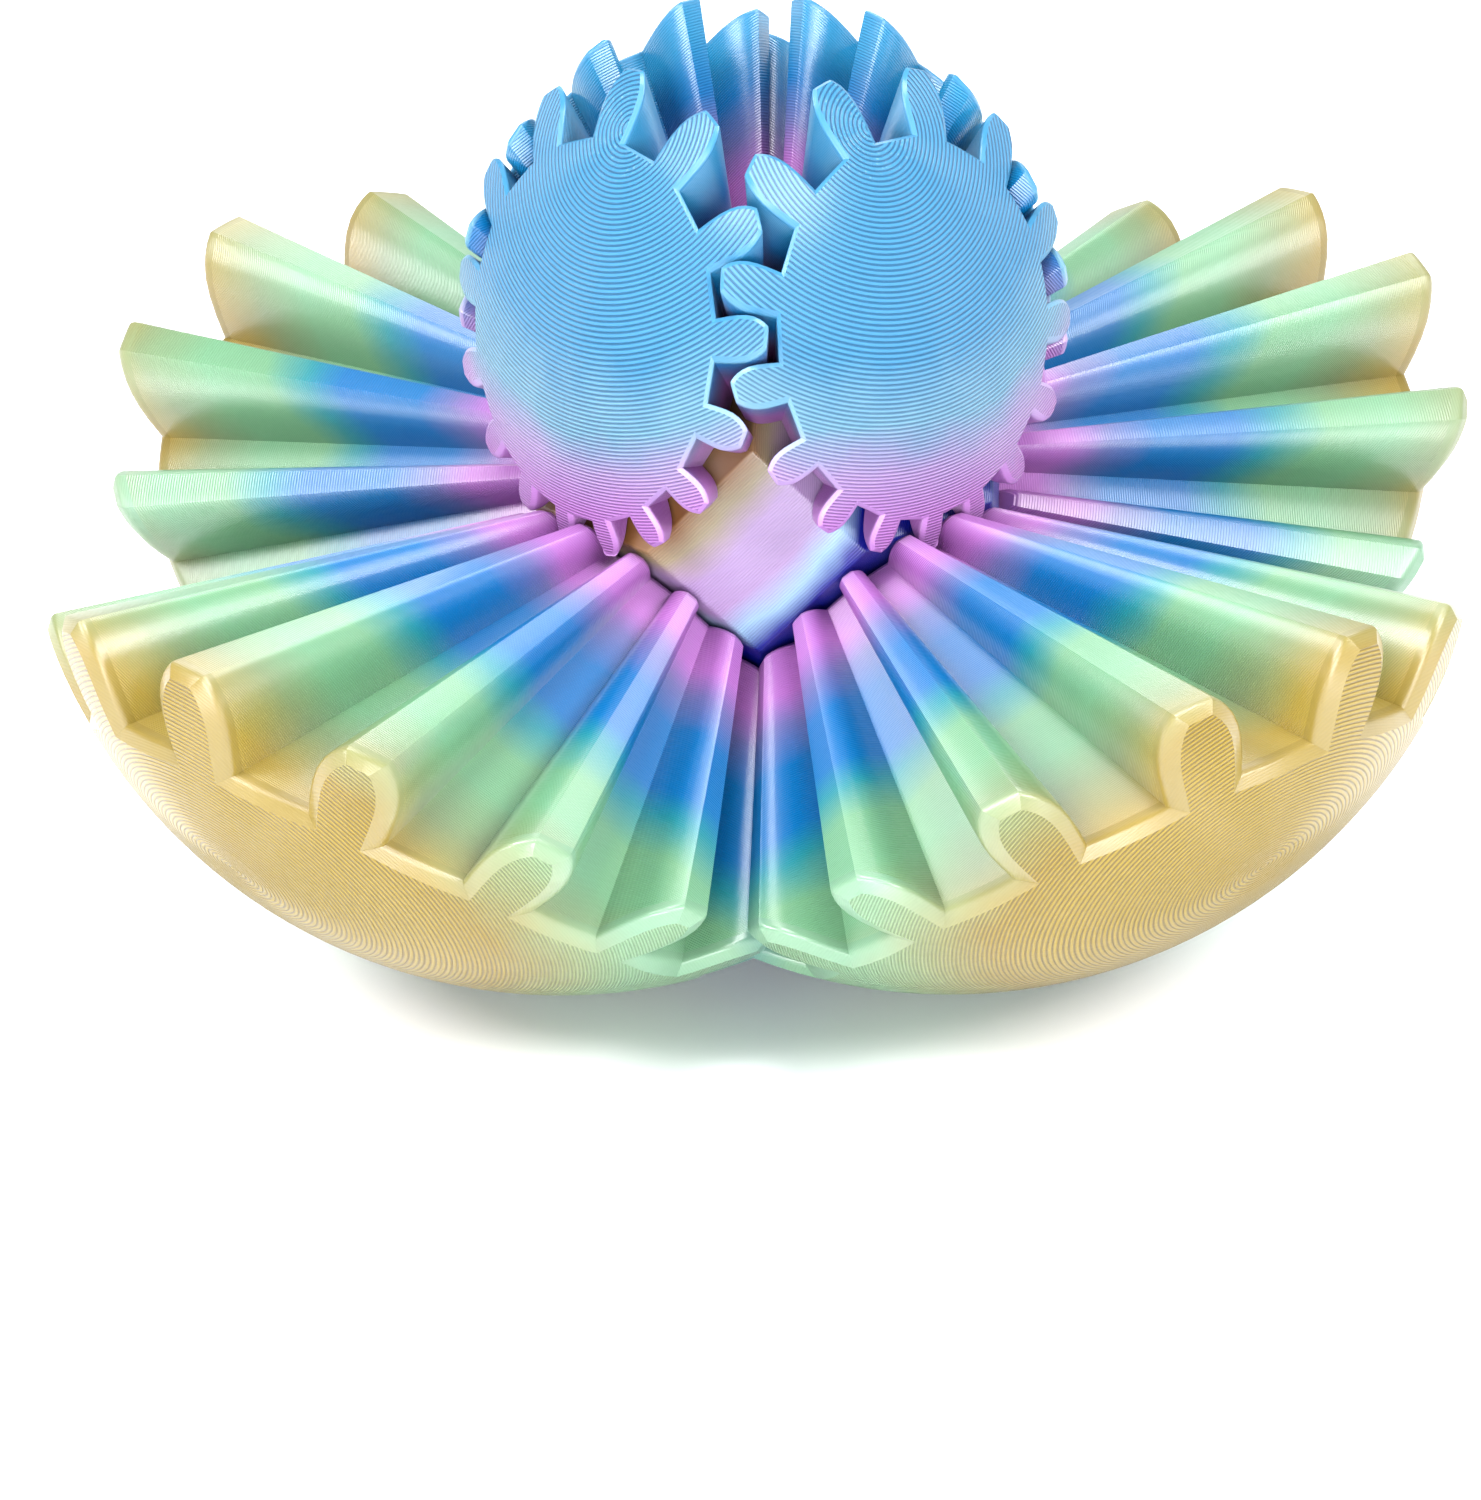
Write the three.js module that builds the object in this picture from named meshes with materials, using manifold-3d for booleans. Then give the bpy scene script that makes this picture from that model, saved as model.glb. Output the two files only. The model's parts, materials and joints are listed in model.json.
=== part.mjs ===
// Gear ball: eight bevel gears snapped on to the eight corners of a small core.
// Turning one gear turns all of them. With every gear half a turn away from the
// closed ball, as modelled here, the long lobes of the lower gears stand outwards.
//
// Units are millimetres and +Z is up. The origin is on the ground, under the core.

import * as THREE from 'three';
import { ConvexGeometry } from 'three/addons/geometries/ConvexGeometry.js';
import { mergeVertices } from 'three/addons/utils/BufferGeometryUtils.js';
import Module from 'manifold-3d';

// The ball and the mechanism inside it.
const BALL_RADIUS = 47.6;
const CENTRE_OFFSET = 25.4; // from the gears' common centre to the closed ball's centre
const MECHANISM_HEIGHT = BALL_RADIUS - CENTRE_OFFSET / 3; // common centre above the ground
const BALL_SEGMENTS_ROUND = 44;
const BALL_SEGMENTS_UP = 22;
const FLAT_ROUND_DEPTH = 0.2; // what the small flat round takes off the top of each dome

// Gears. Every tooth surface is made of straight lines through the common centre, so
// a tooth is described by angles: [angle from the gear's axis, half width round it].
const TOOTH_COUNT = 15;
const TOOTH_OUTLINE = [
  [30.8, 6.0], // root
  [36.1, 5.3], // just past the pitch cone
  [38.8, 2.4], // tip
];
const QUARTER_PITCH = 360 / TOOTH_COUNT / 4;
const GEAR_INNER_FACE = 17.7; // distance of the flat inner face from the common centre
const GEAR_BLANK_END = 70; // past the longest gear's outside

// Core: a cube with its corners cut off.
const CORE_SQUARE_DISTANCE = 20.2; // square faces, between the gears
const CORE_SQUARE_HALF_DIAGONAL = 9.6; // leaves the corner faces 17.2 from the centre

// Pins: each one snaps into the core at one end and into a gear at the other.
const ROUND_SEGMENTS = 16;
const PIN_RADIUS = 3.0;
const PIN_LIP_RADIUS = 3.5;
const PIN_TIP_RADIUS = 2.6;
const PIN_INNER_END = 9.0;
const PIN_OUTER_END = 23.0;
const PIN_SLOT_WIDTH = 1.2;
const PIN_SLOT_LENGTH = 5.2;
const CORE_LIP = [10.4, 12.0]; // where the pin's lips start and end
const GEAR_LIP = [20.2, 21.8];
const CORE_FIT = 0.04; // radial gap round the pin in the core
const GEAR_FIT = 0.08; // running gap round the pin in the gear
const LIP_FIT = 0.15; // gap beyond the ends of the lips
const LIP_RADIAL_FIT = 0.1;

const PURPLE_BLUE = 0x8fb4ee;
const BLUE_YELLOW = 0x9fbfd0;
const CORE_LILAC = 0xcdbfe0;
const PIN_BLUE = 0x3f78d8;

const wasm = await Module();
wasm.setup();

const DEGREE = Math.PI / 180;

function toSolid(geometry) {
  const bare = geometry.index ? geometry.toNonIndexed() : geometry.clone();
  bare.deleteAttribute('normal');
  bare.deleteAttribute('uv');
  const merged = mergeVertices(bare, 1e-5);
  const mesh = new wasm.Mesh({
    numProp: 3,
    vertProperties: new Float32Array(merged.attributes.position.array),
    triVerts: new Uint32Array(merged.index.array),
  });
  return new wasm.Manifold(mesh);
}

function toGeometry(solid) {
  const mesh = solid.getMesh();
  const geometry = new THREE.BufferGeometry();
  geometry.setAttribute('position', new THREE.BufferAttribute(new Float32Array(mesh.vertProperties), 3));
  geometry.setIndex(new THREE.BufferAttribute(new Uint32Array(mesh.triVerts), 1));
  const faceted = geometry.toNonIndexed();
  faceted.computeVertexNormals();
  return faceted;
}

// Matrix that stands local +Z on the gear's axis, with local +X on its uphill side.
function seatMatrix(axis) {
  const uphill = new THREE.Vector3(0, 0, 1).addScaledVector(axis, -axis.z).normalize();
  const sideways = new THREE.Vector3().crossVectors(axis, uphill);
  const matrix = new THREE.Matrix4().makeBasis(uphill, sideways, axis);
  return matrix.setPosition(0, 0, MECHANISM_HEIGHT);
}

// Turns a list of [radius, distance from the common centre] into a round solid on +Z.
function roundSolid(profile) {
  const points = profile.map(([radius, height]) => new THREE.Vector2(radius, height));
  const geometry = new THREE.LatheGeometry(points, ROUND_SEGMENTS);
  return geometry.rotateX(Math.PI / 2);
}

// The toothed cone, before its outside is rounded off.
function toothedBlank(firstTooth) {
  const outline = [];
  for (let tooth = 0; tooth < TOOTH_COUNT; tooth += 1) {
    const middle = firstTooth + (360 / TOOTH_COUNT) * tooth;
    const rising = TOOTH_OUTLINE.map(([lean, half]) => [lean, middle - half]);
    const falling = TOOTH_OUTLINE.map(([lean, half]) => [lean, middle + half]).reverse();
    for (const [lean, turn] of [...rising, ...falling]) {
      const reach = Math.tan(lean * DEGREE);
      outline.push(new THREE.Vector2(reach * Math.cos(turn * DEGREE), reach * Math.sin(turn * DEGREE)));
    }
  }
  const depth = GEAR_BLANK_END - GEAR_INNER_FACE;
  const blank = new THREE.ExtrudeGeometry(new THREE.Shape(outline), { depth, bevelEnabled: false });
  blank.translate(0, 0, GEAR_INNER_FACE);
  const position = blank.attributes.position;
  for (let i = 0; i < position.count; i += 1) {
    const height = position.getZ(i);
    position.setXYZ(i, position.getX(i) * height, position.getY(i) * height, height);
  }
  return blank;
}

// The blind hole for a pin, with the groove that its lips snap into.
function socket(entry, bottom, lip, fit) {
  const radius = PIN_RADIUS + fit;
  const grooveRadius = PIN_LIP_RADIUS + LIP_RADIAL_FIT;
  const inward = Math.sign(bottom - entry);
  const grooveStart = inward > 0 ? lip[0] - LIP_FIT : lip[1] + LIP_FIT;
  const grooveEnd = inward > 0 ? lip[1] + LIP_FIT : lip[0] - LIP_FIT;
  const profile = [
    [0, entry - inward],
    [radius, entry - inward],
    [radius, grooveStart],
    [grooveRadius, grooveStart],
    [grooveRadius, grooveEnd],
    [radius, grooveEnd],
    [radius, bottom],
    [0, bottom],
  ];
  return roundSolid(inward > 0 ? profile : profile.reverse());
}

function makeGear(axis) {
  const lower = axis.z < 0;
  const seat = seatMatrix(axis);
  const contactSide = lower ? 0 : 180; // turn at which the gear above or below meshes
  const blank = toSolid(toothedBlank(contactSide - QUARTER_PITCH).applyMatrix4(seat));

  // Centre of the ball surface that this gear carries, after its half turn.
  const closed = new THREE.Vector3(0, 0, -CENTRE_OFFSET);
  const opened = closed.applyAxisAngle(axis, Math.PI);
  const ball = new THREE.SphereGeometry(BALL_RADIUS, BALL_SEGMENTS_ROUND, BALL_SEGMENTS_UP);
  ball.rotateX(Math.PI / 2);
  ball.translate(opened.x, opened.y, opened.z + MECHANISM_HEIGHT);

  const rounded = blank.intersect(toSolid(ball));

  // The dome ends in a small flat round, square to the axis.
  const flatHeight = opened.dot(axis) + BALL_RADIUS - FLAT_ROUND_DEPTH;
  const flatFromOrigin = flatHeight + MECHANISM_HEIGHT * axis.z;
  const trimmed = rounded.trimByPlane(axis.clone().negate().toArray(), -flatFromOrigin);

  const bore = socket(GEAR_INNER_FACE, PIN_OUTER_END + LIP_FIT, GEAR_LIP, GEAR_FIT);
  return toGeometry(trimmed.subtract(toSolid(bore.applyMatrix4(seat))));
}

function makeCore(axes) {
  const near = CORE_SQUARE_HALF_DIAGONAL;
  const far = CORE_SQUARE_DISTANCE;
  const corners = [];
  for (const side of [-1, 1]) {
    for (const end of [-1, 1]) {
      corners.push(new THREE.Vector3(side * far, end * near, 0), new THREE.Vector3(side * far, 0, end * near));
      corners.push(new THREE.Vector3(end * near, side * far, 0), new THREE.Vector3(0, side * far, end * near));
      corners.push(new THREE.Vector3(end * near, 0, side * far), new THREE.Vector3(0, end * near, side * far));
    }
  }
  const block = new ConvexGeometry(corners).translate(0, 0, MECHANISM_HEIGHT);
  let core = toSolid(block);
  const entry = (near + far) / Math.sqrt(3);
  for (const axis of axes) {
    const hole = socket(entry, PIN_INNER_END - LIP_FIT, CORE_LIP, CORE_FIT);
    core = core.subtract(toSolid(hole.applyMatrix4(seatMatrix(axis))));
  }
  return toGeometry(core);
}

// Double-ended snap pin: lips near both ends, and a slot in each end so they can spring.
function makePin(axis) {
  const coreLipCrest = (CORE_LIP[0] + CORE_LIP[1]) / 2;
  const gearLipCrest = (GEAR_LIP[0] + GEAR_LIP[1]) / 2;
  const pin = roundSolid([
    [0, PIN_INNER_END],
    [PIN_TIP_RADIUS, PIN_INNER_END],
    [PIN_RADIUS, CORE_LIP[0]],
    [PIN_LIP_RADIUS, coreLipCrest],
    [PIN_RADIUS, CORE_LIP[1]],
    [PIN_RADIUS, GEAR_LIP[0]],
    [PIN_LIP_RADIUS, gearLipCrest],
    [PIN_RADIUS, GEAR_LIP[1]],
    [PIN_TIP_RADIUS, PIN_OUTER_END],
    [0, PIN_OUTER_END],
  ]);
  const slotWidth = 4 * PIN_LIP_RADIUS;
  const innerSlot = new THREE.BoxGeometry(PIN_SLOT_WIDTH, slotWidth, 2 * PIN_SLOT_LENGTH);
  innerSlot.translate(0, 0, PIN_INNER_END);
  const outerSlot = new THREE.BoxGeometry(PIN_SLOT_WIDTH, slotWidth, 2 * PIN_SLOT_LENGTH);
  outerSlot.translate(0, 0, PIN_OUTER_END);
  const slotted = toSolid(pin).subtract(toSolid(innerSlot)).subtract(toSolid(outerSlot));
  return toGeometry(slotted).applyMatrix4(seatMatrix(axis));
}

function addMesh(group, name, geometry, colour, roughness) {
  const material = new THREE.MeshStandardMaterial({ color: colour, roughness, metalness: 0.0 });
  const mesh = new THREE.Mesh(geometry, material);
  mesh.name = name;
  group.add(mesh);
}

// One seat per corner of the core. Front is -Y, right is +X.
const SEATS = [];
for (const [height, z] of [['upper', 1], ['lower', -1]]) {
  for (const [depth, y] of [['front', -1], ['back', 1]]) {
    for (const [side, x] of [['left', -1], ['right', 1]]) {
      SEATS.push({ name: `${height}_${depth}_${side}`, axis: new THREE.Vector3(x, y, z).normalize() });
    }
  }
}

const gearBall = new THREE.Group();
gearBall.name = 'gear_ball';
addMesh(gearBall, 'core', makeCore(SEATS.map((seat) => seat.axis)), CORE_LILAC, 0.4);
for (const seat of SEATS) {
  const colour = seat.axis.z > 0 ? PURPLE_BLUE : BLUE_YELLOW;
  addMesh(gearBall, `gear_${seat.name}`, makeGear(seat.axis), colour, 0.35);
  addMesh(gearBall, `pin_${seat.name}`, makePin(seat.axis), PIN_BLUE, 0.45);
}

export default gearBall;
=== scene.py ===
"""Looks of the opened gear ball: silk rainbow plastic gears round a small core."""

import itertools
import json
import math

import bmesh
import bpy
import numpy as np
from mathutils import Matrix, Vector
from mathutils.geometry import delaunay_2d_cdt

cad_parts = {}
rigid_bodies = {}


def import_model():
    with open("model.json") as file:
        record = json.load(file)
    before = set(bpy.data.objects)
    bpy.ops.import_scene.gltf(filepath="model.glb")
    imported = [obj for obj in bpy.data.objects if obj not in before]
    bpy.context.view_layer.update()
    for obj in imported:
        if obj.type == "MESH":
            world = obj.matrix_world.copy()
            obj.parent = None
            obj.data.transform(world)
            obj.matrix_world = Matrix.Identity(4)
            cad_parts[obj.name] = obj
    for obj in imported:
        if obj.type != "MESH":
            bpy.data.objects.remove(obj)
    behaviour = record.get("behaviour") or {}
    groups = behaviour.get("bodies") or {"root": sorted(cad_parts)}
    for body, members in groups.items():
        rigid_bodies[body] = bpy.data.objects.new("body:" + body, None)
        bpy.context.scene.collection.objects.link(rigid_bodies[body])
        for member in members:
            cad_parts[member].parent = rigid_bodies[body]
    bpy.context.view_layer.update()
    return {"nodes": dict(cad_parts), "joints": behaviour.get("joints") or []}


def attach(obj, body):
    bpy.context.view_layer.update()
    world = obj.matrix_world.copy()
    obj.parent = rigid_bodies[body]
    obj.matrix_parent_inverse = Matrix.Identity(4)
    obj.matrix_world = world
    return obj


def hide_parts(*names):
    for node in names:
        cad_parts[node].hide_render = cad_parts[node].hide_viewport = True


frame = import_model()

MM = 0.001

# The mechanism, in millimetres and degrees, as in the solids.
BALL_RADIUS = 47.6
CENTRE_OFFSET = 25.4
TOOTH_COUNT = 15
TOOTH_PITCH = 360.0 / TOOTH_COUNT
QUARTER_PITCH = TOOTH_PITCH / 4
GEAR_INNER_FACE = 17.7
# Tooth outline: angle from the gear's axis, half width of the tooth round it.
TOOTH_ROOT = (30.8, 6.0)
TOOTH_SHOULDER = (38.5, 2.8)
TOOTH_LAND = ((38.7, 2.4), (38.72, 1.2))  # past the narrow bevel at its edge
FLANK_POWER = 3.9  # a high power keeps the root straight and rounds the shoulder
FLANK_STEPS = 8
VALLEY_STEPS = 5
RIM_CHAMFER = {True: (1.5, 0.9), False: (0.45, 0.3)}  # lower or not: width, depth
RIM_ROUNDING = 0.35  # size of the rounded corner beside the chamfer, as a share of its width
RIM_STEPS = 6
INNER_CHAMFER = 0.3
FLAT_ROUND_DEPTH = 0.2  # what the flat round takes off the top of the dome

# Points inside a dome's outline, on the plane one unit from the common centre. The two
# shares are of the grid: how far its points keep from the outline and from the flat round.
DOME_GRID = 0.035
OUTLINE_MARGIN = 0.3
RING_MARGIN = 0.4

BORE_RADIUS = 3.08
BORE_GROOVE_RADIUS = 3.6
BORE_GROOVE = (20.05, 21.95)
BORE_END = 23.15
SOCKET_RADIUS = 3.04
SOCKET_GROOVE = (10.25, 12.15)
SOCKET_END = 8.85
SOCKET_LEAD_IN = 0.4
ROUND_STEPS = 32

CORE_SQUARE_DISTANCE = 20.2
CORE_SQUARE_HALF_DIAGONAL = 9.6
CORE_EDGE_BEVEL = 0.3

GEAR_SHARP_ANGLE = 12
CORE_SHARP_ANGLE = 35
WELD_DISTANCE = 0.001
SAME_POINT = 1e-6  # on the plane one unit from the common centre
NEARLY_PARALLEL = 1e-3

# The surface of the print, in millimetres.
LAYER_HEIGHT = 0.2
BEAD_WIDTH = 0.45
STEP_SHADE = 0.15  # how far out the shade of a layer's step reaches on the layer below
STIPPLE_MARGIN = 0.05  # how far under the flat round a dome is still stippled
COLOUR_DRIFT = 0.6  # how far up or down the colours wander
RELIEF = 0.1

# Sizes of the patterns, in cells for each metre, and how strongly each one shows.
GRAIN_SCALE = 1600.0
DRIFT_SCALE = 130.0
STIPPLE_SCALE = 1500.0
NOISE_RANGE = (0.3, 0.7)  # where most of a noise pattern's values lie
GRAIN_RELIEF = 0.12
STIPPLE_RELIEF = 0.4
# The grooves' shade is painted into the colour: the colour raised to SHADE_GAMMA, mixed in up to
# SHADE_COLOUR.
SHADE_GAMMA = 2.0
SHADE_COLOUR = 0.7
ROUGHNESS = (0.33, 0.38)

# Attributes of the gears' meshes that their materials read.
PRINT_AXIS = "print_axis"
DOME_CENTRE = "dome_centre"

# Places of a gear's materials.
SKIN_SIDE = 0
SKIN_RIM = 1
SKIN_DOME = 2

mechanism_centre = Vector(frame["joints"][0]["pos_m"])


# ------------------------------------------------------------------ geometry


def seat_turn(axis):
    """Turns local +Z on to a gear's axis, with local +X on its uphill side."""
    uphill = (Vector((0, 0, 1)) - axis * axis.z).normalized()
    sideways = axis.cross(uphill)
    return Matrix((uphill, sideways, axis)).transposed()


def inside(points, outline):
    """Which of the points lie inside a closed outline."""
    x, y = points[:, 0][:, None], points[:, 1][:, None]
    x1, y1 = outline[:, 0], outline[:, 1]
    x2, y2 = np.roll(x1, -1), np.roll(y1, -1)
    rise = np.where(y2 == y1, 1.0, y2 - y1)  # a level edge never crosses, so any rise will do
    crosses = ((y1 > y) != (y2 > y)) & (x < (x2 - x1) * (y - y1) / rise + x1)
    return crosses.sum(axis=1) % 2 == 1


def inset(outline, distance):
    """Moves a closed anticlockwise outline inwards, and drops the edges that close up."""
    count = len(outline)
    distance = np.broadcast_to(distance, count)
    along = np.roll(outline, -1, axis=0) - outline
    along = along / np.linalg.norm(along, axis=1, keepdims=True)
    inward = np.column_stack((-along[:, 1], along[:, 0]))
    start = outline + inward * distance[:, None]
    kept = list(range(count))

    def corner(before, after, own):
        cross = along[before, 0] * along[after, 1] - along[before, 1] * along[after, 0]
        if abs(cross) < NEARLY_PARALLEL:
            return outline[own] + inward[after] * distance[own]
        gap = start[after] - start[before]
        share = (gap[0] * along[after, 1] - gap[1] * along[after, 0]) / cross
        return start[before] + along[before] * share

    while True:
        corners = [corner(kept[i - 1], kept[i], kept[i]) for i in range(len(kept))]
        following = corners[1:] + corners[:1]
        lengths = [np.dot(b - a, along[edge]) for a, b, edge in zip(corners, following, kept)]
        worst = int(np.argmin(lengths))
        if lengths[worst] >= 0:
            break
        kept.pop(worst)
    moved = np.zeros_like(outline)
    for i, edge in enumerate(kept):
        last = kept[i - 1] - (count if i == 0 else 0)
        for vertex in range(last + 1, edge + 1):
            moved[vertex % count] = corners[i]
    return moved


def grid_points(outline, grid, ring):
    """Points on a triangular grid inside an outline, and a ring of points among them."""
    low, high = outline.min(axis=0), outline.max(axis=0)
    rows = np.arange(low[1], high[1], grid * math.sqrt(0.75))
    columns = np.arange(low[0], high[0], grid)
    points = np.array([(x + (row % 2) * grid / 2, y) for row, y in enumerate(rows) for x in columns])
    to_ring = np.linalg.norm(points[:, None] - ring[None], axis=2).min(axis=1)
    points = np.concatenate((points[to_ring > grid * RING_MARGIN], ring))
    return points[inside(points, inset(outline, grid * OUTLINE_MARGIN))]


def triangulate(outline, hole=None, grid=None, ring=None):
    """Fills an outline with triangles, optionally round a hole or with points inside it."""
    apart = np.linalg.norm(outline - np.roll(outline, 1, axis=0), axis=1)
    outline = outline[apart > SAME_POINT]
    points = [outline]
    edges = [(i, (i + 1) % len(outline)) for i in range(len(outline))]
    if hole is not None:
        first = len(outline)
        edges += [(first + i, first + (i + 1) % len(hole)) for i in range(len(hole))]
        points.append(hole)
    if grid is not None:
        points.append(grid_points(outline, grid, ring))
    flat = [Vector(p) for p in np.concatenate(points)]
    found, _, faces, *_ = delaunay_2d_cdt(flat, edges, [], 0, SAME_POINT / 10)
    found = np.array([tuple(p) for p in found])
    faces = np.array([tuple(f) for f in faces])
    middles = found[faces].mean(axis=1)
    keep = inside(middles, outline)
    if hole is not None:
        keep &= ~inside(middles, hole)
    return found, faces[keep]


class Shell:
    """Collects loops and patches of vertices, then welds them into one closed mesh."""

    def __init__(self):
        self.points = []
        self.faces = []
        self.skins = []

    def add_patch(self, points, faces, skin=SKIN_SIDE):
        """Adds points, and faces that name them by their places in the list."""
        first = len(self.points)
        self.points += [tuple(p) for p in points]
        self.faces += [tuple(first + i for i in face) for face in faces]
        self.skins += [skin] * len(faces)

    def add_strip(self, loops, skin=SKIN_SIDE):
        """Joins each loop of points to the next with a band of four-sided faces."""
        count = len(loops[0])
        points = np.concatenate(loops)
        faces = [
            (row * count + i, row * count + (i + 1) % count,
             (row + 1) * count + (i + 1) % count, (row + 1) * count + i)
            for row in range(len(loops) - 1)
            for i in range(count)
        ]
        self.add_patch(points, faces, skin)

    def mesh(self, name, sharp_angle):
        """One smooth mesh, with sharp edges between skins and past an angle in degrees."""
        made = bmesh.new()
        corners = [made.verts.new(Vector(p) * MM) for p in self.points]
        for face, skin in zip(self.faces, self.skins):
            made.faces.new([corners[i] for i in face]).material_index = skin
        bmesh.ops.remove_doubles(made, verts=made.verts, dist=WELD_DISTANCE * MM)
        bmesh.ops.recalc_face_normals(made, faces=made.faces)
        limit = math.radians(sharp_angle)
        for edge in made.edges:
            skins = {face.material_index for face in edge.link_faces}
            edge.smooth = len(skins) == 1 and edge.calc_face_angle(math.pi) < limit
        for face in made.faces:
            face.smooth = True
        mesh = bpy.data.meshes.new(name)
        made.to_mesh(mesh)
        made.free()
        return mesh


def circle(radius, height=None):
    """Points of a circle round the origin, flat or at a height."""
    turns = np.arange(ROUND_STEPS) * 2 * math.pi / ROUND_STEPS
    loop = np.column_stack((radius * np.cos(turns), radius * np.sin(turns)))
    if height is None:
        return loop
    return np.column_stack((loop, np.full(ROUND_STEPS, height)))


def tooth_side():
    """One side of a tooth, from its root to the edge of its land."""
    side = []
    for step in range(FLANK_STEPS + 1):
        share = 1 - (1 - step / FLANK_STEPS) ** 2
        lean = TOOTH_ROOT[0] + (TOOTH_SHOULDER[0] - TOOTH_ROOT[0]) * share
        half = TOOTH_ROOT[1] + (TOOTH_SHOULDER[1] - TOOTH_ROOT[1]) * share**FLANK_POWER
        side.append((lean, half))
    return side + list(TOOTH_LAND)


def tooth_outline(first_tooth):
    """The teeth as seen from the common centre, on a plane one unit away."""

    def seen(lean, turn):
        reach = math.tan(math.radians(lean))
        return np.array((reach * math.cos(math.radians(turn)), reach * math.sin(math.radians(turn))))

    profile = tooth_side()
    teeth = []
    for tooth in range(TOOTH_COUNT):
        middle = first_tooth + TOOTH_PITCH * tooth
        rising = [seen(lean, middle - half) for lean, half in profile]
        falling = [seen(lean, middle + half) for lean, half in reversed(profile)]
        teeth.append(rising + falling)
    outline = []
    for tooth, points in enumerate(teeth):
        following = teeth[(tooth + 1) % TOOTH_COUNT][0]
        across = following - points[-1]
        valley = [points[-1] + across * (step / VALLEY_STEPS) for step in range(1, VALLEY_STEPS)]
        outline += points + valley
    return np.array(outline)


def ball_centre(lower):
    """Centre of the ball that a gear carries a part of, in the gear's own frame."""
    height = CENTRE_OFFSET / math.sqrt(3)
    return np.array((math.sqrt(2 / 3) * CENTRE_OFFSET, 0, height if lower else -height))


def flat_round_height(centre):
    """How far the flat round is along the gear's axis from the common centre."""
    return centre[2] + BALL_RADIUS - FLAT_ROUND_DEPTH


def on_ball(seen, centre):
    """Points of the ball's surface in the directions given by a plane one unit away.

    The flat round cuts the ball off at the top, as seen along the gear's axis.
    """
    ray = np.column_stack((seen, np.ones(len(seen))))
    ray /= np.linalg.norm(ray, axis=1, keepdims=True)
    lift = ray @ centre
    distance = lift + np.sqrt(lift**2 + BALL_RADIUS**2 - CENTRE_OFFSET**2)
    return ray, np.minimum(distance, flat_round_height(centre) / ray[:, 2])


def rim_profile(width, depth):
    """Steps from a tooth's side to the dome: a rounded corner, then the chamfer.

    Each step says how far in from the side it is, and how deep under the ball's surface.
    """
    round_off = RIM_ROUNDING * width
    slant = math.hypot(width, depth)
    end = (width * round_off / slant, depth * (1 - round_off / slant))
    steps = [(0.0, depth + 2 * round_off)]
    for step in range(RIM_STEPS + 1):
        share = step / RIM_STEPS
        before, between, after = (1 - share) ** 2, 2 * share * (1 - share), share**2
        down = (depth + round_off) * before + depth * between + end[1] * after
        steps.append((end[0] * after, down))
    return steps + [(width, 0.0)]


def gear_mesh(lower):
    """One gear in its own frame: +Z along its axis, +X uphill, origin at the common centre."""
    contact_side = 0 if lower else 180
    outline = tooth_outline(contact_side - QUARTER_PITCH)
    centre = ball_centre(lower)
    shell = Shell()

    # Flat inner face, with the bore that the pin snaps into.
    inner = inset(outline, INNER_CHAMFER / GEAR_INNER_FACE) * GEAR_INNER_FACE
    points, faces = triangulate(inner, hole=circle(BORE_RADIUS))
    shell.add_patch(np.column_stack((points, np.full(len(points), GEAR_INNER_FACE))), faces)
    shell.add_strip([
        circle(BORE_RADIUS, GEAR_INNER_FACE),
        circle(BORE_RADIUS, BORE_GROOVE[0]),
        circle(BORE_GROOVE_RADIUS, BORE_GROOVE[0]),
        circle(BORE_GROOVE_RADIUS, BORE_GROOVE[1]),
        circle(BORE_RADIUS, BORE_GROOVE[1]),
        circle(BORE_RADIUS, BORE_END),
    ])
    shell.add_patch(circle(BORE_RADIUS, BORE_END), [tuple(range(ROUND_STEPS))])

    # Tooth sides, between a small chamfer inside and a wide one at the rim. A short gear's
    # thinnest teeth run out to an edge, which leaves neither chamfer its full depth there.
    ray, reach = on_ball(outline, centre)
    edge_height = reach * ray[:, 2]
    start = np.minimum(GEAR_INNER_FACE + INNER_CHAMFER, edge_height)
    rim = []
    for width, depth in rim_profile(*RIM_CHAMFER[lower]):
        rim_seen = inset(outline, width / edge_height)
        rim_ray, rim_reach = on_ball(rim_seen, centre)
        rim_reach = np.maximum(rim_reach - depth, start / rim_ray[:, 2])
        rim.append(rim_ray * rim_reach[:, None])
    shell.add_strip([
        np.column_stack((inner, np.full(len(inner), GEAR_INNER_FACE))),
        np.column_stack((outline, np.ones(len(outline)))) * start[:, None],
        rim[0],
    ])
    shell.add_strip(rim, SKIN_RIM)

    # The part of the ball that the gear carries, with the flat round on its top.
    flat_radius = math.sqrt(BALL_RADIUS**2 - (BALL_RADIUS - FLAT_ROUND_DEPTH) ** 2)
    ring = (circle(flat_radius) + centre[:2]) / flat_round_height(centre)
    points, faces = triangulate(rim_seen, grid=DOME_GRID, ring=ring)
    dome_ray, dome_reach = on_ball(points, centre)
    shell.add_patch(dome_ray * dome_reach[:, None], faces, SKIN_DOME)
    return shell.mesh("gear_lower" if lower else "gear_upper", GEAR_SHARP_ANGLE)


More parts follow.
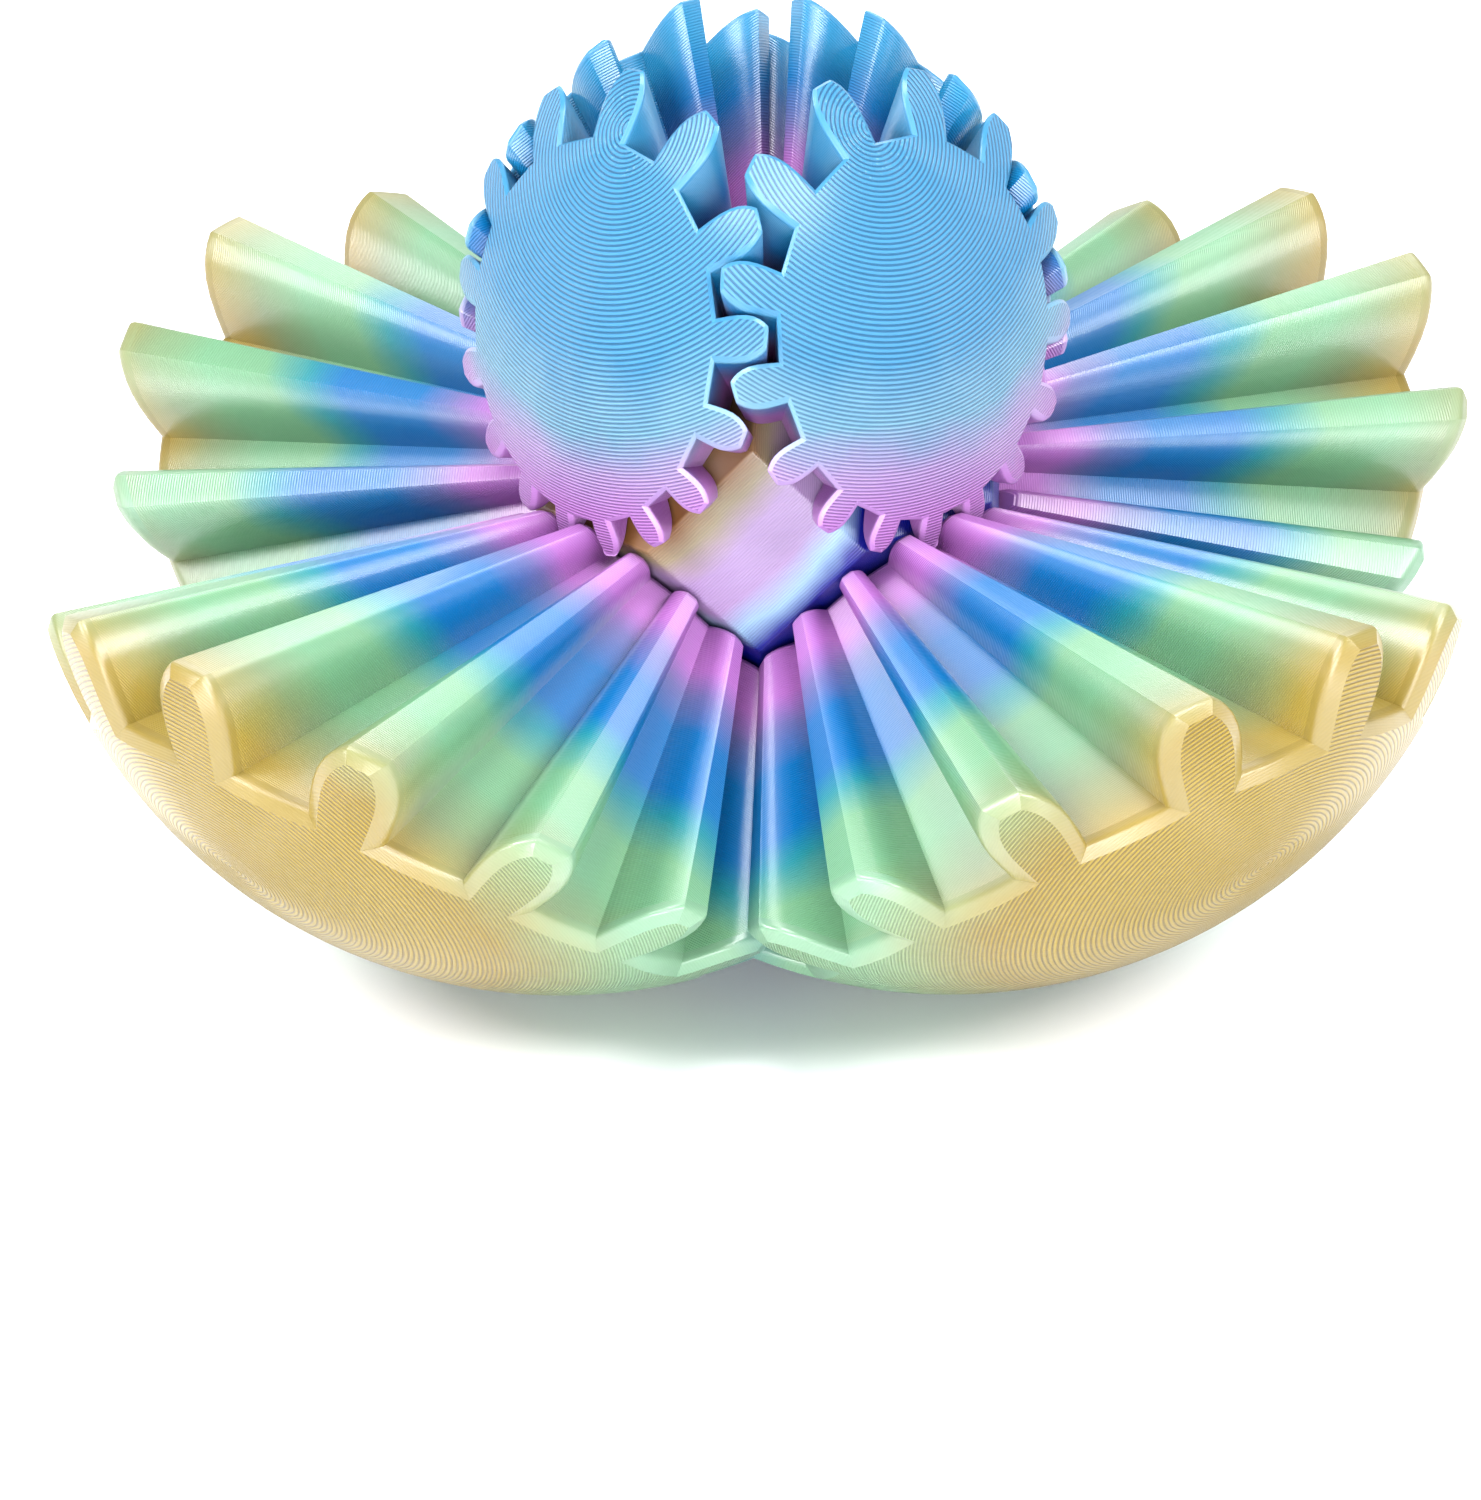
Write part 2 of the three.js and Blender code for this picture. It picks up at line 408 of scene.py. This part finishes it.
def core_mesh(axes):
    """The core in the row's axes, with its origin at the common centre."""
    near, far = CORE_SQUARE_HALF_DIAGONAL, CORE_SQUARE_DISTANCE
    body = bmesh.new()
    for side in (-far, far):
        for end in (-near, near):
            for place in itertools.permutations((side, end, 0)):
                body.verts.new(Vector(place) * MM)
    bmesh.ops.convex_hull(body, input=body.verts)
    bmesh.ops.dissolve_limit(body, angle_limit=0.01, verts=body.verts, edges=body.edges)
    bmesh.ops.bevel(
        body, geom=body.edges[:], offset=CORE_EDGE_BEVEL * MM, segments=2, profile=0.5, affect="EDGES"
    )
    block = bpy.data.meshes.new("core_block")
    body.to_mesh(block)
    body.free()

    face = (near + far) / math.sqrt(3)
    cutter = Shell()
    groove = BORE_GROOVE_RADIUS
    loops = [
        circle(SOCKET_RADIUS, SOCKET_END),
        circle(SOCKET_RADIUS, SOCKET_GROOVE[0]),
        circle(groove, SOCKET_GROOVE[0]),
        circle(groove, SOCKET_GROOVE[1]),
        circle(SOCKET_RADIUS, SOCKET_GROOVE[1]),
        circle(SOCKET_RADIUS, face - SOCKET_LEAD_IN),
        circle(SOCKET_RADIUS + 2 * SOCKET_LEAD_IN, face + SOCKET_LEAD_IN),
    ]
    for axis in axes:
        turn = np.array(seat_turn(axis))
        turned = [loop @ turn.T for loop in loops]
        cutter.add_strip(turned)
        cutter.add_patch(turned[0], [tuple(range(ROUND_STEPS))])
        cutter.add_patch(turned[-1], [tuple(range(ROUND_STEPS))])
    block_object = bpy.data.objects.new("core_block", block)
    cutter_object = bpy.data.objects.new("core_sockets", cutter.mesh("core_sockets", CORE_SHARP_ANGLE))
    for thing in (block_object, cutter_object):
        bpy.context.scene.collection.objects.link(thing)
    cut = block_object.modifiers.new("sockets", "BOOLEAN")
    cut.operation = "DIFFERENCE"
    cut.solver = "EXACT"
    cut.object = cutter_object
    bpy.context.view_layer.update()
    evaluated = block_object.evaluated_get(bpy.context.evaluated_depsgraph_get())
    mesh = bpy.data.meshes.new_from_object(evaluated)
    mesh.name = "core"
    for thing in (block_object, cutter_object):
        bpy.data.objects.remove(thing)
    mesh.shade_smooth()
    mesh.set_sharp_from_angle(angle=math.radians(CORE_SHARP_ANGLE))
    return mesh


# ----------------------------------------------------------------- materials


def linear(red, green, blue):
    """A colour given as 0-255 screen values, as the shader wants it, by the sRGB curve."""
    share = [value / 255 for value in (red, green, blue)]
    light = [s / 12.92 if s <= 0.04045 else ((s + 0.055) / 1.055) ** 2.4 for s in share]
    return (*light, 1.0)


class Nodes:
    """Short calls for building the nodes of a material or a world."""

    def __init__(self, owner):
        owner.use_nodes = True
        self.tree = owner.node_tree
        self.tree.nodes.clear()

    def add(self, kind, **settings):
        node = self.tree.nodes.new(kind)
        for name, value in settings.items():
            setattr(node, name, value)
        return node

    def wire(self, source, target):
        self.tree.links.new(source, target)

    def put(self, value, socket):
        if isinstance(value, (int, float, tuple)):
            socket.default_value = value
        else:
            self.wire(value, socket)

    def maths(self, operation, first, second=0.0, clamp=False):
        node = self.add("ShaderNodeMath", operation=operation, use_clamp=clamp)
        self.put(first, node.inputs[0])
        self.put(second, node.inputs[1])
        return node.outputs[0]

    def dot(self, first, second):
        node = self.add("ShaderNodeVectorMath", operation="DOT_PRODUCT")
        self.put(first, node.inputs[0])
        self.put(second, node.inputs[1])
        return node.outputs["Value"]

    def spread(self, value, low, high, to_low=0.0, to_high=1.0, smooth=False):
        """Stretches one range of values on to another, and holds it at the ends."""
        node = self.add("ShaderNodeMapRange")
        node.interpolation_type = "SMOOTHSTEP" if smooth else "LINEAR"
        self.put(value, node.inputs["Value"])
        limits = {"From Min": low, "From Max": high, "To Min": to_low, "To Max": to_high}
        for name, number in limits.items():
            node.inputs[name].default_value = number
        return node.outputs[0]

    def noise(self, place, scale, detail=2.0):
        node = self.add("ShaderNodeTexNoise")
        node.inputs["Scale"].default_value = scale
        node.inputs["Detail"].default_value = detail
        self.wire(place, node.inputs["Vector"])
        return node.outputs[0]

    def ramp(self, value, stops):
        """Colours at heights in millimetres, for a height in metres."""
        node = self.add("ShaderNodeValToRGB")
        entries = node.color_ramp.elements
        while len(entries) < len(stops):
            entries.new(0.5)
        low, high = stops[0][0], stops[-1][0]
        for entry, (place, colour) in zip(entries, stops):
            entry.position = (place - low) / (high - low)
            entry.color = linear(*colour)
        self.wire(self.spread(value, low * MM, high * MM), node.inputs[0])
        return node.outputs[0]

    def mix(self, share, first, second):
        node = self.add("ShaderNodeMix", data_type="RGBA")
        self.put(share, node.inputs[0])
        self.put(first, node.inputs[6])
        self.put(second, node.inputs[7])
        return node.outputs[2]


def across_dome(nodes, place, print_axis):
    """How far a point of a dome is above the centre of its ball, and out from its middle."""
    centre = nodes.add("ShaderNodeAttribute", attribute_name=DOME_CENTRE)
    from_centre = nodes.add("ShaderNodeVectorMath", operation="SUBTRACT")
    nodes.wire(place, from_centre.inputs[0])
    nodes.wire(centre.outputs["Vector"], from_centre.inputs[1])
    offset = from_centre.outputs[0]
    above = nodes.dot(offset, print_axis)
    squared = nodes.maths("SUBTRACT", nodes.dot(offset, offset), nodes.maths("POWER", above, 2.0))
    return above, nodes.maths("SQRT", squared)


def dome_line(nodes, above, radius):
    """Counts lines out from a dome's top: by beads, then by layers once those are closer."""
    change = math.atan(LAYER_HEIGHT / BEAD_WIDTH)
    change_radius = BALL_RADIUS * math.sin(change)
    change_height = BALL_RADIUS * math.cos(change)
    beads = nodes.maths("DIVIDE", radius, BEAD_WIDTH * MM)
    below = nodes.maths("SUBTRACT", change_height * MM, above)
    layers = nodes.maths("DIVIDE", below, LAYER_HEIGHT * MM)
    layers = nodes.maths("ADD", layers, change_radius / BEAD_WIDTH)
    on_top = nodes.maths("GREATER_THAN", above, change_height * MM)
    difference = nodes.maths("SUBTRACT", beads, layers)
    return nodes.maths("ADD", layers, nodes.maths("MULTIPLY", on_top, difference))


def groove_shade(nodes, line, level, gentlest):
    """1 in the groove between two lines, falling to 0 where the shade of its step ends.

    The smallest numbers only keep level and upright surfaces from dividing by nothing.
    """
    past_middle = nodes.maths("SUBTRACT", nodes.maths("FRACT", line), 0.5)
    from_groove = nodes.maths("SUBTRACT", 0.5, nodes.maths("ABSOLUTE", past_middle))
    steep = nodes.maths("SQRT", nodes.maths("SUBTRACT", 1.0001, nodes.maths("POWER", level, 2.0)))
    slope = nodes.maths("DIVIDE", steep, nodes.maths("MAXIMUM", level, 0.05))
    slope = nodes.maths("MAXIMUM", slope, gentlest)
    width = nodes.maths("MINIMUM", nodes.maths("MULTIPLY", slope, STEP_SHADE / LAYER_HEIGHT), 0.5)
    within = nodes.maths("DIVIDE", from_groove, nodes.maths("MAXIMUM", width, 0.02), clamp=True)
    return nodes.spread(within, 0.0, 1.0, 1.0, 0.0, smooth=True)


def stipple(nodes, place, above):
    """Small pits on the flat round at the top of a dome."""
    dots = nodes.add("ShaderNodeTexVoronoi")
    dots.inputs["Scale"].default_value = STIPPLE_SCALE
    nodes.wire(place, dots.inputs["Vector"])
    pit = nodes.spread(dots.outputs["Distance"], 0.2, 0.5, STIPPLE_RELIEF, 0.0, smooth=True)
    lowest = BALL_RADIUS - FLAT_ROUND_DEPTH - STIPPLE_MARGIN
    return nodes.maths("MULTIPLY", nodes.maths("GREATER_THAN", above, lowest * MM), pit)


def silk(name, stops, gloss, print_axis=None, lines=0.3, dome=False):
    """Silk plastic whose colour changes with the height it was printed at.

    Without a print axis, the mesh gives its own in the attribute that PRINT_AXIS names.
    A dome's mesh also gives its ball's centre, in DOME_CENTRE: it has rings and a stippled top.
    """
    material = bpy.data.materials.new(name)
    nodes = Nodes(material)
    if print_axis is None:
        print_axis = nodes.add("ShaderNodeAttribute", attribute_name=PRINT_AXIS).outputs["Vector"]
    coordinates = nodes.add("ShaderNodeTexCoord")
    place = coordinates.outputs["Object"]
    height = nodes.dot(place, print_axis)
    level = nodes.maths("ABSOLUTE", nodes.dot(coordinates.outputs["Normal"], print_axis))

    if dome:
        above, radius = across_dome(nodes, place, print_axis)
        groove = groove_shade(nodes, dome_line(nodes, above, radius), level, LAYER_HEIGHT / BEAD_WIDTH)
    else:
        line = nodes.maths("DIVIDE", height, LAYER_HEIGHT * MM)
        groove = groove_shade(nodes, line, level, 0.0)
    # lines sets how deep the layer grooves are, both in the bump and in the shade painted into the
    # colour.
    shade = nodes.maths("MULTIPLY", groove, lines)

    drift = COLOUR_DRIFT * MM
    wander = nodes.spread(nodes.noise(place, DRIFT_SCALE), *NOISE_RANGE, -drift, drift)
    colour = nodes.ramp(nodes.maths("ADD", height, wander), stops)
    # Painted shade: a darker copy of the colour is mixed in along each layer's groove.
    painted_shade_colour = nodes.add("ShaderNodeGamma")
    painted_shade_colour.inputs["Gamma"].default_value = SHADE_GAMMA
    nodes.wire(colour, painted_shade_colour.inputs["Color"])
    colour_with_painted_shade = nodes.mix(nodes.maths("MULTIPLY", shade, SHADE_COLOUR), colour, painted_shade_colour.outputs[0])

    grain = nodes.noise(place, GRAIN_SCALE)
    relief = nodes.maths("SUBTRACT", nodes.maths("MULTIPLY", grain, GRAIN_RELIEF), shade)
    if dome:
        relief = nodes.maths("SUBTRACT", relief, stipple(nodes, place, above))
    bump = nodes.add("ShaderNodeBump")
    bump.inputs["Strength"].default_value = 1.0
    bump.inputs["Distance"].default_value = RELIEF * MM
    nodes.wire(relief, bump.inputs["Height"])

    # The layers are beads, so they spread a highlight across themselves.
    across = nodes.add("ShaderNodeVectorTransform", vector_type="VECTOR")
    across.convert_from = "OBJECT"
    across.convert_to = "WORLD"
    nodes.put(print_axis, across.inputs[0])

    shader = nodes.add("ShaderNodeBsdfPrincipled")
    nodes.wire(colour_with_painted_shade, shader.inputs["Base Color"])
    nodes.wire(nodes.spread(grain, *NOISE_RANGE, *ROUGHNESS), shader.inputs["Roughness"])
    nodes.wire(bump.outputs[0], shader.inputs["Normal"])
    nodes.wire(across.outputs[0], shader.inputs["Tangent"])
    shader.inputs["Anisotropic"].default_value = 0.9
    shader.inputs["IOR"].default_value = 1.8
    shader.inputs["Specular IOR Level"].default_value = gloss
    shader.inputs["Coat Weight"].default_value = 0.2
    shader.inputs["Coat Roughness"].default_value = 0.2
    output = nodes.add("ShaderNodeOutputMaterial")
    nodes.wire(shader.outputs[0], output.inputs["Surface"])
    return material


# The filament changes colour as it is printed. Heights are along the gear's axis.
LILAC = (154, 96, 164)
VIOLET = (94, 96, 146)
BLUE = (0, 96, 152)
SKY = (26, 116, 156)
TEAL = (30, 122, 130)
MINT = (98, 144, 108)
SAGE = (110, 126, 88)
GOLD = (138, 118, 46)
LOWER_SIDE_COLOURS = (
    (17.0, LILAC),
    (22.0, LILAC),
    (25.0, VIOLET),
    (28.5, BLUE),
    (34.5, BLUE),
    (37.5, TEAL),
    (41.0, MINT),
    (46.0, MINT),
    (51.0, SAGE),
    (56.0, GOLD),
    (63.0, GOLD),
)
UPPER_SIDE_COLOURS = (
    (17.0, LILAC),
    (21.0, LILAC),
    (23.5, VIOLET),
    (26.5, BLUE),
    (30.0, SKY),
    (34.0, SKY),
)

# The domes get their own copies of the colours, mostly paler than the teeth's sides: painted sheen,
# standing in for the whitish sheen of the silk on the domes' faces.
DOME_SHEEN_LILAC = (162, 112, 172)
DOME_SHEEN_VIOLET = (152, 130, 170)
DOME_SHEEN_PALE_SKY = (98, 138, 160)
DOME_SHEEN_SKY = (50, 112, 148)
DOME_SHEEN_MINT = (122, 156, 120)
DOME_SHEEN_GOLD = (130, 108, 18)
LOWER_DOME_SHEEN_COLOURS = (
    (17.0, DOME_SHEEN_LILAC),
    (30.0, DOME_SHEEN_SKY),
    (44.0, DOME_SHEEN_MINT),
    (49.0, DOME_SHEEN_MINT),
    (56.0, DOME_SHEEN_GOLD),
    (63.0, DOME_SHEEN_GOLD),
)
UPPER_DOME_SHEEN_COLOURS = (
    (17.0, DOME_SHEEN_LILAC),
    (20.5, DOME_SHEEN_LILAC),
    (23.0, DOME_SHEEN_VIOLET),
    (25.5, DOME_SHEEN_PALE_SKY),
    (28.5, DOME_SHEEN_SKY),
    (34.0, DOME_SHEEN_SKY),
)
RIM_MINT = (102, 138, 110)
RIM_GOLD = (122, 104, 44)
RIM_COLOURS = (
    (17.0, LILAC),
    (30.0, BLUE),
    (42.0, RIM_MINT),
    (48.0, RIM_MINT),
    (56.0, RIM_GOLD),
    (63.0, RIM_GOLD),
)

# The core was printed standing on a corner, from another stretch of the filament. Heights
# are from its middle.
AMBER = (118, 70, 22)
SAND = (134, 122, 96)
MAUVE = (146, 122, 160)
POWDER = (128, 158, 182)
DEEP_BLUE = (1, 15, 120)
CORE_COLOURS = (
    (-18.0, AMBER),
    (-15.5, SAND),
    (-13.0, MAUVE),
    (-10.0, MAUVE),
    (-7.8, POWDER),
    (-6.2, DEEP_BLUE),
    (16.0, DEEP_BLUE),
)


# --------------------------------------------------------------------- build

joint_of = {joint["child"]: joint for joint in frame["joints"]}
seat_axes = {body: Vector(joint["axis"]).normalized() for body, joint in joint_of.items()}
root = next(joint["parent"] for joint in frame["joints"])



def add_piece(name, shape, body, node):
    """Puts a mesh at the mechanism's centre, on a body and in place of one of the solids."""
    piece = bpy.data.objects.new(name, shape)
    bpy.context.scene.collection.objects.link(piece)
    piece.location = mechanism_centre
    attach(piece, body)
    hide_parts(node)


core_print_axis = tuple(Vector((1.0, 1.0, -1.0)).normalized())
core_silk = silk("silk_core", CORE_COLOURS, gloss=0.3, print_axis=core_print_axis)
pin_silk = silk("silk_pin", ((0.0, BLUE), (80.0, SKY)), gloss=0.5, print_axis=(0.0, 0.0, 1.0))

gear_shapes = {True: gear_mesh(True), False: gear_mesh(False)}
for lower, shape in gear_shapes.items():
    size = "lower" if lower else "upper"
    side_stops = LOWER_SIDE_COLOURS if lower else UPPER_SIDE_COLOURS
    # A short gear's rim takes the domes' colours, with their painted sheen.
    rim_stops = RIM_COLOURS if lower else UPPER_DOME_SHEEN_COLOURS
    dome_sheen_stops = LOWER_DOME_SHEEN_COLOURS if lower else UPPER_DOME_SHEEN_COLOURS
    skins = {
        SKIN_SIDE: silk(f"silk_side_{size}", side_stops, gloss=0.55, lines=0.35),
        SKIN_RIM: silk(f"silk_rim_{size}", rim_stops, gloss=0.35 if lower else 0.2, lines=0.1),
        SKIN_DOME: silk(f"silk_dome_{size}", dome_sheen_stops, gloss=0.2, lines=1.0, dome=True),
    }
    for place in sorted(skins):
        shape.materials.append(skins[place])

# A gear's body and its node have the same name.
for body, axis in seat_axes.items():
    lower = axis.z < 0
    turn = seat_turn(axis)
    shape = gear_shapes[lower].copy()
    shape.transform(turn.to_4x4())
    dome_centre = turn @ Vector(ball_centre(lower)) * MM
    for attribute, vector in ((PRINT_AXIS, axis), (DOME_CENTRE, dome_centre)):
        values = shape.attributes.new(attribute, "FLOAT_VECTOR", "POINT")
        values.data.foreach_set("vector", list(vector) * len(shape.vertices))
    add_piece("print_" + body, shape, body, body)

core_shape = core_mesh(seat_axes.values())
core_shape.materials.clear()
core_shape.materials.append(core_silk)
add_piece("print_core", core_shape, root, "core")

for name, node in frame["nodes"].items():
    if name.startswith("pin_"):
        node.data.materials.clear()
        node.data.materials.append(pin_silk)


# -------------------------------------------------------- floor, light, camera

FLOOR_HALF_SIDE = 4.0
FLOOR_GAP = 0.0002  # keeps the floor just clear of the domes that stand on it
WALL_FADE = (0.03, 0.4)  # how steeply up a direction points where the walls start and end to dim
WALL_STRENGTH = (2.0, 0.4)


def floor():
    """A plain pale floor, which isn't part of the toy."""
    shape = bmesh.new()
    bmesh.ops.create_grid(shape, x_segments=1, y_segments=1, size=FLOOR_HALF_SIDE)
    mesh = bpy.data.meshes.new("floor")
    shape.to_mesh(mesh)
    shape.free()
    material = bpy.data.materials.new("floor")
    nodes = Nodes(material)
    shader = nodes.add("ShaderNodeBsdfPrincipled")
    shader.inputs["Base Color"].default_value = (0.93, 0.95, 0.97, 1.0)
    shader.inputs["Roughness"].default_value = 0.75
    shader.inputs["Specular IOR Level"].default_value = 0.2
    output = nodes.add("ShaderNodeOutputMaterial")
    nodes.wire(shader.outputs[0], output.inputs["Surface"])
    mesh.materials.append(material)
    ground = bpy.data.objects.new("floor", mesh)
    bpy.context.scene.collection.objects.link(ground)
    ground.location.z = -FLOOR_GAP


def camera():
    """Looks from the photographer's side: far off and a little above."""
    elevation = math.radians(23.46)
    azimuth = math.radians(3.79)
    roll = math.radians(1.82)
    distance = 0.998
    aim = (-0.0025, -0.02577)  # how far right of and above the mechanism's centre it aims
    lens = 269.95
    back = Vector((
        math.sin(azimuth) * math.cos(elevation),
        -math.cos(azimuth) * math.cos(elevation),
        math.sin(elevation),
    ))
    level = Vector((math.cos(azimuth), math.sin(azimuth), 0))
    upright = back.cross(level)
    right = level * math.cos(roll) - upright * math.sin(roll)
    up = level * math.sin(roll) + upright * math.cos(roll)
    place = mechanism_centre + back * distance
    away = (place - (mechanism_centre + right * aim[0] + up * aim[1])).normalized()
    across = (right - away * right.dot(away)).normalized()
    turn = Matrix((across, away.cross(across), away)).transposed().to_4x4()
    data = bpy.data.cameras.new("camera")
    data.sensor_width = 36.0
    data.lens = lens
    data.clip_end = 20.0
    view = bpy.data.objects.new("camera", data)
    bpy.context.scene.collection.objects.link(view)
    view.matrix_world = Matrix.Translation(place) @ turn
    bpy.context.scene.camera = view


def area_light(name, place, size, power):
    """A round lamp at a place given from the mechanism's centre, which it faces."""
    data = bpy.data.lights.new(name, "AREA")
    data.shape = "DISK"
    data.size = size
    data.energy = power
    lamp = bpy.data.objects.new(name, data)
    bpy.context.scene.collection.objects.link(lamp)
    lamp.location = mechanism_centre + Vector(place)
    lamp.rotation_euler = (mechanism_centre - lamp.location).to_track_quat("-Z", "Y").to_euler()


def studio_walls():
    """Pale walls all round: bright near the horizon, dimmer overhead."""
    world = bpy.data.worlds.new("studio")
    nodes = Nodes(world)
    place = nodes.add("ShaderNodeTexCoord")
    split = nodes.add("ShaderNodeSeparateXYZ")
    nodes.wire(place.outputs["Generated"], split.inputs[0])
    light = nodes.add("ShaderNodeBackground")
    light.inputs["Color"].default_value = (0.95, 0.97, 1.0, 1.0)
    strength = nodes.spread(split.outputs["Z"], *WALL_FADE, *WALL_STRENGTH, smooth=True)
    nodes.wire(strength, light.inputs["Strength"])
    output = nodes.add("ShaderNodeOutputWorld")
    nodes.wire(light.outputs[0], output.inputs["Surface"])
    bpy.context.scene.world = world


floor()
camera()
area_light("left", place=(-0.60, -0.35, 0.60), size=0.4, power=10.5)
area_light("right", place=(0.60, -0.40, 0.55), size=0.4, power=9.0)
area_light("front", place=(0.0, -0.95, 0.15), size=0.5, power=10.0)
area_light("top", place=(0.0, -0.20, 1.0), size=0.4, power=10.0)
area_light("back", place=(0.0, 0.75, 0.65), size=0.6, power=5.0)
studio_walls()
bpy.context.scene.view_settings.view_transform = "Standard"
